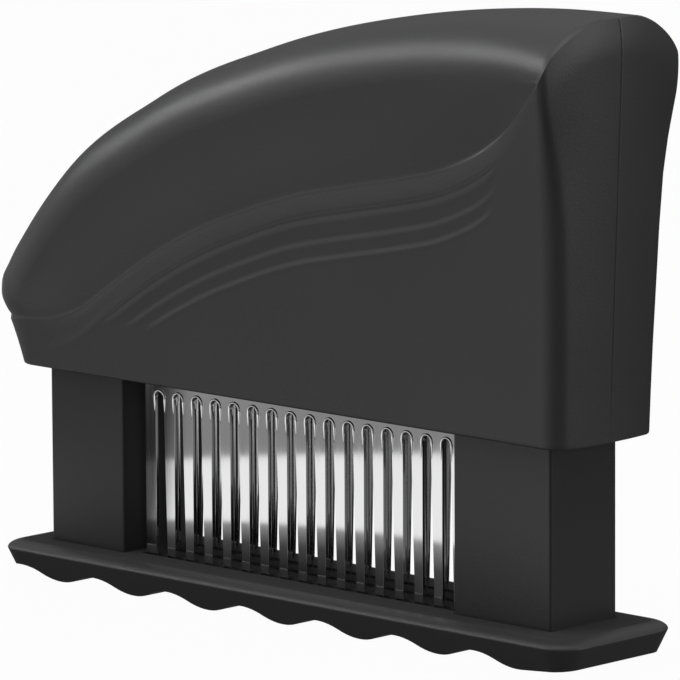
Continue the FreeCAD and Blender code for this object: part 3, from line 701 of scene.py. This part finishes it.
def comb_outline(shift, low_left, low_right):
    """Outline of one comb from its top left corner down and along the tines: each slot is a half
    round over two straight edges, of which one slants away as it goes down."""
    arc = np.linspace(0, np.pi, 15)
    neck = SLOT_TOP - SLOT_TOP_HALF
    loop, left = [(COMB_X[0], COMB_TOP), (COMB_X[0], TIP + POINT)], COMB_X[0]
    for k in range(SLOTS + 1):
        centre = SLOT_0 + shift + k * SLOT_PITCH
        right = centre - low_left if k < SLOTS else COMB_X[1]
        loop += [((left + right) / 2, TIP), (right, TIP + POINT)]
        if k < SLOTS:
            loop += np.column_stack([centre - SLOT_TOP_HALF * np.cos(arc),
                                     neck + SLOT_TOP_HALF * np.sin(arc)]).tolist()
            left = centre + low_right
            loop.append((left, TIP + POINT))
    loop.append((COMB_X[1], COMB_TOP))
    return np.array(loop)


def stamped_burr(row, shift):
    """Fine raised edge round the top of every slot on the near face: a half-round bead that follows
    the slot and sinks into the sheet down both sides."""
    radius = SLOT_TOP_HALF + BURR * BURR_OUT
    turn = np.linspace(BURR_ARCH, np.pi - BURR_ARCH, 19)
    straight = np.linspace(BURR_DOWN, 0.0, 7)[:-1]
    down_left = np.stack([-radius + 0 * straight, -straight], -1)
    arch = radius * np.stack([-np.cos(turn), np.sin(turn)], -1)
    path = np.concatenate([down_left, arch, down_left[::-1] * (-1, 1)])
    thick = BURR * np.clip(1.0 + np.minimum(path[:, 1], 0.0) / BURR_TAPER, BURR_END, 1.0)
    along = np.gradient(path, axis=0)
    along /= np.linalg.norm(along, axis=1)[:, None]
    ring = np.linspace(0, 2 * np.pi, 10, endpoint=False)
    offset = thick[:, None] * np.cos(ring)
    bead = np.stack([path[:, :1] - along[:, 1:] * offset,
                     row - SHEET / 2 - thick[:, None] * np.sin(ring),
                     path[:, 1:] + along[:, :1] * offset], -1)
    centre_x = SLOT_0 + shift + SLOT_PITCH * np.arange(SLOTS)
    centre = np.stack([centre_x, 0 * centre_x, 0 * centre_x + SLOT_TOP - SLOT_TOP_HALF], -1)
    steps, sides = bead.shape[:2]
    faces = sum([tube_faces(steps, sides, k * steps * sides) for k in range(SLOTS)], [])
    return (bead[None] + centre[:, None, None]).reshape(-1, 3), faces


BLADE_COLOUR, LINE_STRETCH = (0.8, 0.8, 0.805, 1.0), (900.0, 900.0, 30.0)
LINE_DETAIL, BLADE_HAZE, LINE_BUMP, LINE_DEPTH = 3.0, (0.03, 0.09), 0.06, 0.00001


def polished_steel(name):
    """Polished sheet: long faint drawing lines in the bump, and a trace of haze along them."""
    material, tree, shader, place = new_material(name, 1.0)
    stretched = add_node(tree, "Mapping", {"Vector": place, "Scale": LINE_STRETCH}).outputs["Vector"]
    lines = noise_node(tree, stretched, 1.0, LINE_DETAIL)
    relief = add_node(tree, "Bump", {"Strength": LINE_BUMP, "Distance": LINE_DEPTH, "Height": lines})
    set_inputs(tree, shader, {"Base Color": BLADE_COLOUR, "Normal": relief.outputs["Normal"],
                              "Roughness": range_node(tree, lines, *BLADE_HAZE)})
    return material


blade_steel = polished_steel("polished_blade")
for row, place in zip(ROWS, ("front", "middle", "rear")):
    shift, low_left, low_right = SLOT_SHAPES[place]
    outline = comb_outline(shift, low_left, low_right)
    near = np.column_stack([outline[:, 0], np.full(len(outline), row - SHEET / 2), outline[:, 1]])
    comb = new_piece("tine_comb_" + place, np.concatenate([near, near + (0.0, SHEET, 0.0)]),
                     tube_faces(2, len(outline)), smooth=False)
    face_outward(comb)
    hole = ((PIN_HALF, -PIN_CUT / 2), (PIN_HALF, PIN_CUT / 2))
    cut_out(comb, [turned("pin_hole", (x, row, PIN_Z), "y", hole, 28) for x in PIN_X])
    ground = comb.modifiers.new("ground_edge", "BEVEL")
    ground.width, ground.segments, ground.limit_method = GROUND_EDGE * MM, 1, "ANGLE"
    ground.angle_limit = np.radians(GROUND_ANGLE)
    apply_modifiers(comb)
    join_in(comb, new_piece("burr_" + place, *stamped_burr(row, shift)))
    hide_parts("blade_comb_" + place)
    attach(comb, "handle")
    dress(comb, blade_steel)

# ==== Spacers, pins, spring guides and screws =================================================
# Plastic bars between the combs, steel cross pins, headed guide rods and cross-head screws.
# Their shapes come from the frame.
SPACER_BLACK, SPACER_ROUGHNESS, SPACER_BUMP = (0.035, 0.035, 0.036), 0.55, 0.2
PIN_COLOUR, PIN_ROUGHNESS = (0.56, 0.56, 0.57), 0.3
SCREW_COLOUR, SCREW_ROUGHNESS = (0.5, 0.5, 0.49), 0.36
SPECKLE_SCALE, SPECKLE_TONE, SPECKLE_GLOSS = 900.0, (0.85, 1.1), 0.08


def turned_steel(name, colour, roughness):
    """Turned or rolled steel: fine specks of lighter and darker, duller and brighter metal."""
    material, tree, shader, place = new_material(name, 1.0)
    speckle = noise_node(tree, place, SPECKLE_SCALE)
    link_finish(tree, shader, colour, range_node(tree, speckle, *SPECKLE_TONE),
           range_node(tree, speckle, roughness - SPECKLE_GLOSS, roughness + SPECKLE_GLOSS))
    return material


spacer_plastic = plastic("plain_spacer", SPACER_BLACK, SPACER_ROUGHNESS, SPACER_BUMP)
pin_steel = turned_steel("turned_pin", PIN_COLOUR, PIN_ROUGHNESS)
screw_steel = turned_steel("zinc_screw", SCREW_COLOUR, SCREW_ROUGHNESS)
for node in ("comb_spacer_front", "comb_spacer_rear"):
    recolour(node, spacer_plastic)
for node in ("comb_pins", "spring_guide_left", "spring_guide_right"):
    recolour(node, pin_steel)
for node in ("shell_screws", "column_screws"):
    recolour(node, screw_steel)

# ==== Return springs ==========================================================================
# Compression springs of drawn wire, one in each column, with closed flat end coils. In the tool they push
# the foot plate back down and shorten as the handle is pressed; here each is one fixed coil on the handle.
WIRE, COIL, SPRING_LOW, SPRING_TOP, TURNS, END_TURNS, CLOSED = 0.5, 4.75, 15.0, 80.5, 14.0, 1.6, 0.16
WIRE_COLOUR, WIRE_ROUGHNESS = (0.52, 0.52, 0.53), 0.28


def coil_points(centre_x, around=10, per_turn=28):
    """Tube along a helix whose pitch closes to the wire's thickness in the end coils."""
    t = np.linspace(0.0, 1.0, int(TURNS * per_turn))
    angle = 2 * np.pi * TURNS * t
    pitch = ease(t * TURNS / END_TURNS) * ease((1 - t) * TURNS / END_TURNS) + CLOSED
    rise = np.concatenate([[0.0], np.cumsum((pitch[1:] + pitch[:-1]) / 2)])
    z = SPRING_LOW + WIRE + rise / rise[-1] * (SPRING_TOP - SPRING_LOW - 2 * WIRE)
    turn = np.linspace(0, 2 * np.pi, around, endpoint=False)
    radius = COIL + WIRE * np.cos(turn)
    return np.stack([centre_x + np.cos(angle)[:, None] * radius, np.sin(angle)[:, None] * radius,
                     z[:, None] + WIRE * np.sin(turn)], -1)


spring_steel = turned_steel("drawn_wire", WIRE_COLOUR, WIRE_ROUGHNESS)
for side, (x0, x1) in zip(("left", "right"), COLUMNS):
    tube = coil_points((x0 + x1) / 2)
    coil = new_piece("return_coil_" + side, tube.reshape(-1, 3), tube_faces(*tube.shape[:2]))
    face_outward(coil)
    dress(coil, spring_steel)
    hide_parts("spring_" + side)
    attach(coil, "handle")
    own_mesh(coil)

# ==== Floor, light and camera =================================================================
# A plain white floor in a plain white room. Gloss sees painted light and painted shade on the
# floor instead: a ring of painted light round the tool with painted shade inside it, and the room's
# own shades. A large soft light overhead, two smaller ones on the left and on the
# right, and a narrow beam along the tall end of the grip. Lengths here are metres.
FLOOR_HALF, PAPER_GREY, PAPER_ROUGHNESS, CAMERA_SHARE = 6, (0.35, 0.35, 0.35, 1), 0.9, 0.97
WHITE = (1.0, 1.0, 1.0, 1.0)
floor_mesh = bpy.data.meshes.new("floor")
floor_mesh.from_pydata([(x * FLOOR_HALF, y * FLOOR_HALF, 0) for x, y in ((-1, -1), (1, -1), (1, 1), (-1, 1))],
                       [], [(0, 1, 2, 3)])
floor = bpy.data.objects.new("floor", floor_mesh)
bpy.context.scene.collection.objects.link(floor)


def math_node(tree, operation, *values):
    """Math node; a value is a number or a socket."""
    return add_node(tree, "Math", dict(enumerate(values)), operation=operation).outputs["Value"]


def dot_node(tree, vector, direction):
    """How far the vector goes along a direction."""
    dot = add_node(tree, "VectorMath", {0: vector, 1: direction}, operation="DOT_PRODUCT")
    return dot.outputs["Value"]


def ramp_node(tree, value, *stops):
    """Brightness along a value, straight between the stops (value, brightness)."""
    first, last = stops[0][0], stops[-1][0]
    ramp = add_node(tree, "ValToRGB", {"Fac": range_node(tree, value, 0.0, 1.0, first, last)})
    stop_list = ramp.color_ramp.elements
    while len(stop_list) < len(stops):
        stop_list.new(0.5)
    for stop, (at, _) in zip(stop_list, stops):
        stop.position = (at - first) / (last - first)
    for stop, (_, level) in zip(stop_list, stops):
        stop.color = (level, level, level, 1.0)
    return ramp.outputs["Color"]


def gloss_sees(tree, shader, seen):
    """Mixed shader: gloss and glass see the second shader, everything else the first."""
    path = add_node(tree, "LightPath", {})
    gloss = math_node(tree, "MAXIMUM", path.outputs["Is Glossy Ray"], path.outputs["Is Transmission Ray"])
    return add_node(tree, "MixShader", {"Fac": gloss, 1: shader, 2: seen}).outputs["Shader"]


# a ring of painted light round the tool, seen only in gloss, painted darker beyond it: where it starts and
# ends, how much nearer that is to one side than to the other, and the width of its near edge
PAINTED_RING_NEAR, PAINTED_RING_NEAR_SLANT, PAINTED_RING_FAR, PAINTED_RING_FAR_SLANT, PAINTED_RING_EDGE = 0.104, 0.041, 0.185, 0.02, 0.004
SIDEWAYS, FORWARD = (0.719, -0.695, 0.0), (-0.695, -0.719, 0.0)
# brightness of the painted light: painted shade close round the tool rising to the ring, the ring's far edge
# and the darker floor beyond it, darker away from the front left, and a thin stripe of painted shade off to
# one side
NEAR_STOPS = ((0.05, 0.01), (0.08, 0.06), (PAINTED_RING_NEAR - PAINTED_RING_EDGE, 0.27), (PAINTED_RING_NEAR, 1.0))
FAR_STOPS = ((PAINTED_RING_FAR - PAINTED_RING_EDGE, 1.0), (PAINTED_RING_FAR, 0.25), (PAINTED_RING_FAR + 0.06, 0.27),
             (PAINTED_RING_FAR + 0.4, 0.5))
FRONT_STOPS = ((0.0, 0.15), (0.5, 1.0), (1.0, 1.0))
LEFT_STOPS = ((-0.2, 1.0), (-0.039, 1.0), (-0.035, 0.06), (-0.029, 0.06), (-0.024, 1.0), (0.2, 1.0))
paper = bpy.data.materials.new("white_paper")
paper.use_nodes = True
tree = paper.node_tree
shader = tree.nodes["Principled BSDF"]
set_inputs(tree, shader, {"Base Color": PAPER_GREY, "Roughness": PAPER_ROUGHNESS})
place = add_node(tree, "TexCoord", {}).outputs["Object"]
from_middle = add_node(tree, "VectorMath", {0: place, 1: (CREST_TO_MIDDLE * MM, 0.0, 0.0)},
                       operation="SUBTRACT").outputs["Vector"]
reach = add_node(tree, "VectorMath", {0: from_middle}, operation="LENGTH").outputs["Value"]
across = dot_node(tree, from_middle, SIDEWAYS)
slant = math_node(tree, "DIVIDE", across, reach)
ahead = math_node(tree, "DIVIDE", dot_node(tree, from_middle, FORWARD), reach)
past_near = math_node(tree, "ADD", reach, math_node(tree, "MULTIPLY", slant, PAINTED_RING_NEAR_SLANT))
past_far = math_node(tree, "SUBTRACT", reach, math_node(tree, "MULTIPLY", slant, PAINTED_RING_FAR_SLANT))
# painted light and painted shade on the floor, the ramps multiplied together
level = ramp_node(tree, past_near, *NEAR_STOPS)
for cut in (ramp_node(tree, past_far, *FAR_STOPS), ramp_node(tree, ahead, *FRONT_STOPS),
            ramp_node(tree, across, *LEFT_STOPS)):
    level = add_node(tree, "MixRGB", {"Fac": 1.0, "Color1": level, "Color2": cut},
                     blend_type="MULTIPLY").outputs["Color"]
# painted light on the paper close round the foot plate, by the distance from its sides, seen in gloss
FOOT_HALVES = (("X", 0.080), ("Y", 0.017))
PAINTED_CLOSE_STOPS = ((-0.1, 0.15), (0.012, 0.15), (0.018, 0.0), (0.1, 0.0))
apart = add_node(tree, "SeparateXYZ", {"Vector": from_middle})
beside = [math_node(tree, "SUBTRACT", math_node(tree, "ABSOLUTE", apart.outputs[axis]), half)
          for axis, half in FOOT_HALVES]
# painted light round the foot plate, laid over the painted ring where it is brighter
painted_close_light = ramp_node(tree, math_node(tree, "MAXIMUM", *beside), *PAINTED_CLOSE_STOPS)
painted_light = add_node(tree, "MixRGB", {"Fac": 1.0, "Color1": level, "Color2": painted_close_light}, blend_type="LIGHTEN")
# the floor glows with the painted light and painted shade for gloss rays only, though it is no lamp; the
# camera sees plain white with a trace of the real shadow
mirrored = add_node(tree, "Emission", {"Color": painted_light.outputs["Color"]}).outputs["Emission"]
white = add_node(tree, "Emission", {}).outputs["Emission"]
camera_ray = add_node(tree, "LightPath", {}).outputs["Is Camera Ray"]
seen = add_node(tree, "MixShader", {"Fac": math_node(tree, "MULTIPLY", camera_ray, CAMERA_SHARE),
                                    1: shader.outputs["BSDF"], 2: white}).outputs["Shader"]
set_inputs(tree, tree.nodes["Material Output"], {"Surface": gloss_sees(tree, seen, mirrored)})
floor_mesh.materials.append(paper)

# what gloss shows above the floor: a white room, darker on the side that faces the right front
DARK_SIDE, ROOM_STRENGTH = (0.695, -0.719, 0.0), 0.7
AROUND_STOPS = ((-1.0, 0.12), (-0.5, 0.22), (-0.12, 0.6), (0.12, 0.6), (0.45, 0.45), (0.75, 0.3),
                (1.0, 0.2))
ABOVE_STOPS = ((0.0, 0.0), (0.2, 0.0), (0.55, 0.5), (1.0, 0.65))
world = bpy.data.worlds.new("studio")
bpy.context.scene.world = world
world.use_nodes = True
tree = world.node_tree
outward = add_node(tree, "TexCoord", {}).outputs["Generated"]
height = add_node(tree, "SeparateXYZ", {"Vector": outward}).outputs["Z"]
around = ramp_node(tree, dot_node(tree, outward, DARK_SIDE), *AROUND_STOPS)
above = ramp_node(tree, height, *ABOVE_STOPS)
room = add_node(tree, "MixRGB", {"Fac": above, "Color1": around, "Color2": WHITE})
base = tree.nodes["Background"]
set_inputs(tree, base, {"Color": WHITE, "Strength": ROOM_STRENGTH})
shown = add_node(tree, "Background", {"Color": room.outputs["Color"]}).outputs["Background"]
bright = add_node(tree, "Background", {}).outputs["Background"]
camera_ray = add_node(tree, "LightPath", {}).outputs["Is Camera Ray"]
blend = add_node(tree, "MixShader", {"Fac": camera_ray, 2: bright,
                                     1: gloss_sees(tree, base.outputs["Background"], shown)})
set_inputs(tree, tree.nodes["World Output"], {"Surface": blend.outputs["Shader"]})

# area lamps: name, place, size, power; and the beam's place, target, power, cone and softness
SOFT_LAMPS = (("overhead", (0.1, -0.2, 1.4), 1.0, 5.0), ("left", (-0.7, -1.05, 0.8), 0.5, 3.0),
              ("right", (1.3, 0.62, 0.25), 0.6, 3.5))
LIT_CENTRE = (0.0, 0.0, 0.08)
BEAM_PLACE, BEAM_TARGET, BEAM_POWER = (-1.26, -0.364, 0.722), (0.062, -0.01, 0.112), 300.0
BEAM_CONE, BEAM_SOFTNESS = 4.3, 0.18


def hang(lamp, place, target):
    """The lamp at a place, turned to a target."""
    holder = bpy.data.objects.new(lamp.name, lamp)
    holder.location = place
    holder.rotation_euler = (Vector(target) - Vector(place)).to_track_quat("-Z", "Y").to_euler()
    bpy.context.scene.collection.objects.link(holder)


for name, place, size, power in SOFT_LAMPS:
    lamp = bpy.data.lights.new(name, "AREA")
    lamp.shape, lamp.size, lamp.energy = "SQUARE", size, power
    hang(lamp, place, LIT_CENTRE)
beam = bpy.data.lights.new("beam", "SPOT")
beam.energy, beam.spot_size, beam.spot_blend = BEAM_POWER, np.radians(BEAM_CONE), 1.0
beam.shadow_soft_size = BEAM_SOFTNESS
hang(beam, BEAM_PLACE, BEAM_TARGET)

# camera: where it stands from what it aims at, and its focal length in pixels of a picture
AZIMUTH, ELEVATION, ROLL = np.radians(44.061), np.radians(9.59), np.radians(-0.341)
DISTANCE, AIM = 1.50733, np.array([0.007936, 0.0, 0.055219])
FOCAL_PIXELS, PICTURE_PIXELS, SENSOR = 7672.3, 680.0, 36.0
outward = np.array([np.sin(AZIMUTH) * np.cos(ELEVATION), -np.cos(AZIMUTH) * np.cos(ELEVATION),
                    np.sin(ELEVATION)])
right = np.array([np.cos(AZIMUTH), np.sin(AZIMUTH), 0.0])
up = np.cross(outward, right)
right, up = right * np.cos(ROLL) + up * np.sin(ROLL), up * np.cos(ROLL) - right * np.sin(ROLL)
eye = AIM + DISTANCE * outward
lens = bpy.data.cameras.new("camera")
lens.sensor_width, lens.lens = SENSOR, FOCAL_PIXELS / PICTURE_PIXELS * SENSOR
lens.clip_start, lens.clip_end = 0.05, 50.0
camera = bpy.data.objects.new("camera", lens)
camera.matrix_world = Matrix([[right[k], up[k], outward[k], eye[k]] for k in range(3)] + [[0, 0, 0, 1]])
bpy.context.scene.collection.objects.link(camera)
bpy.context.scene.camera = camera
bpy.context.scene.view_settings.view_transform = "Standard"
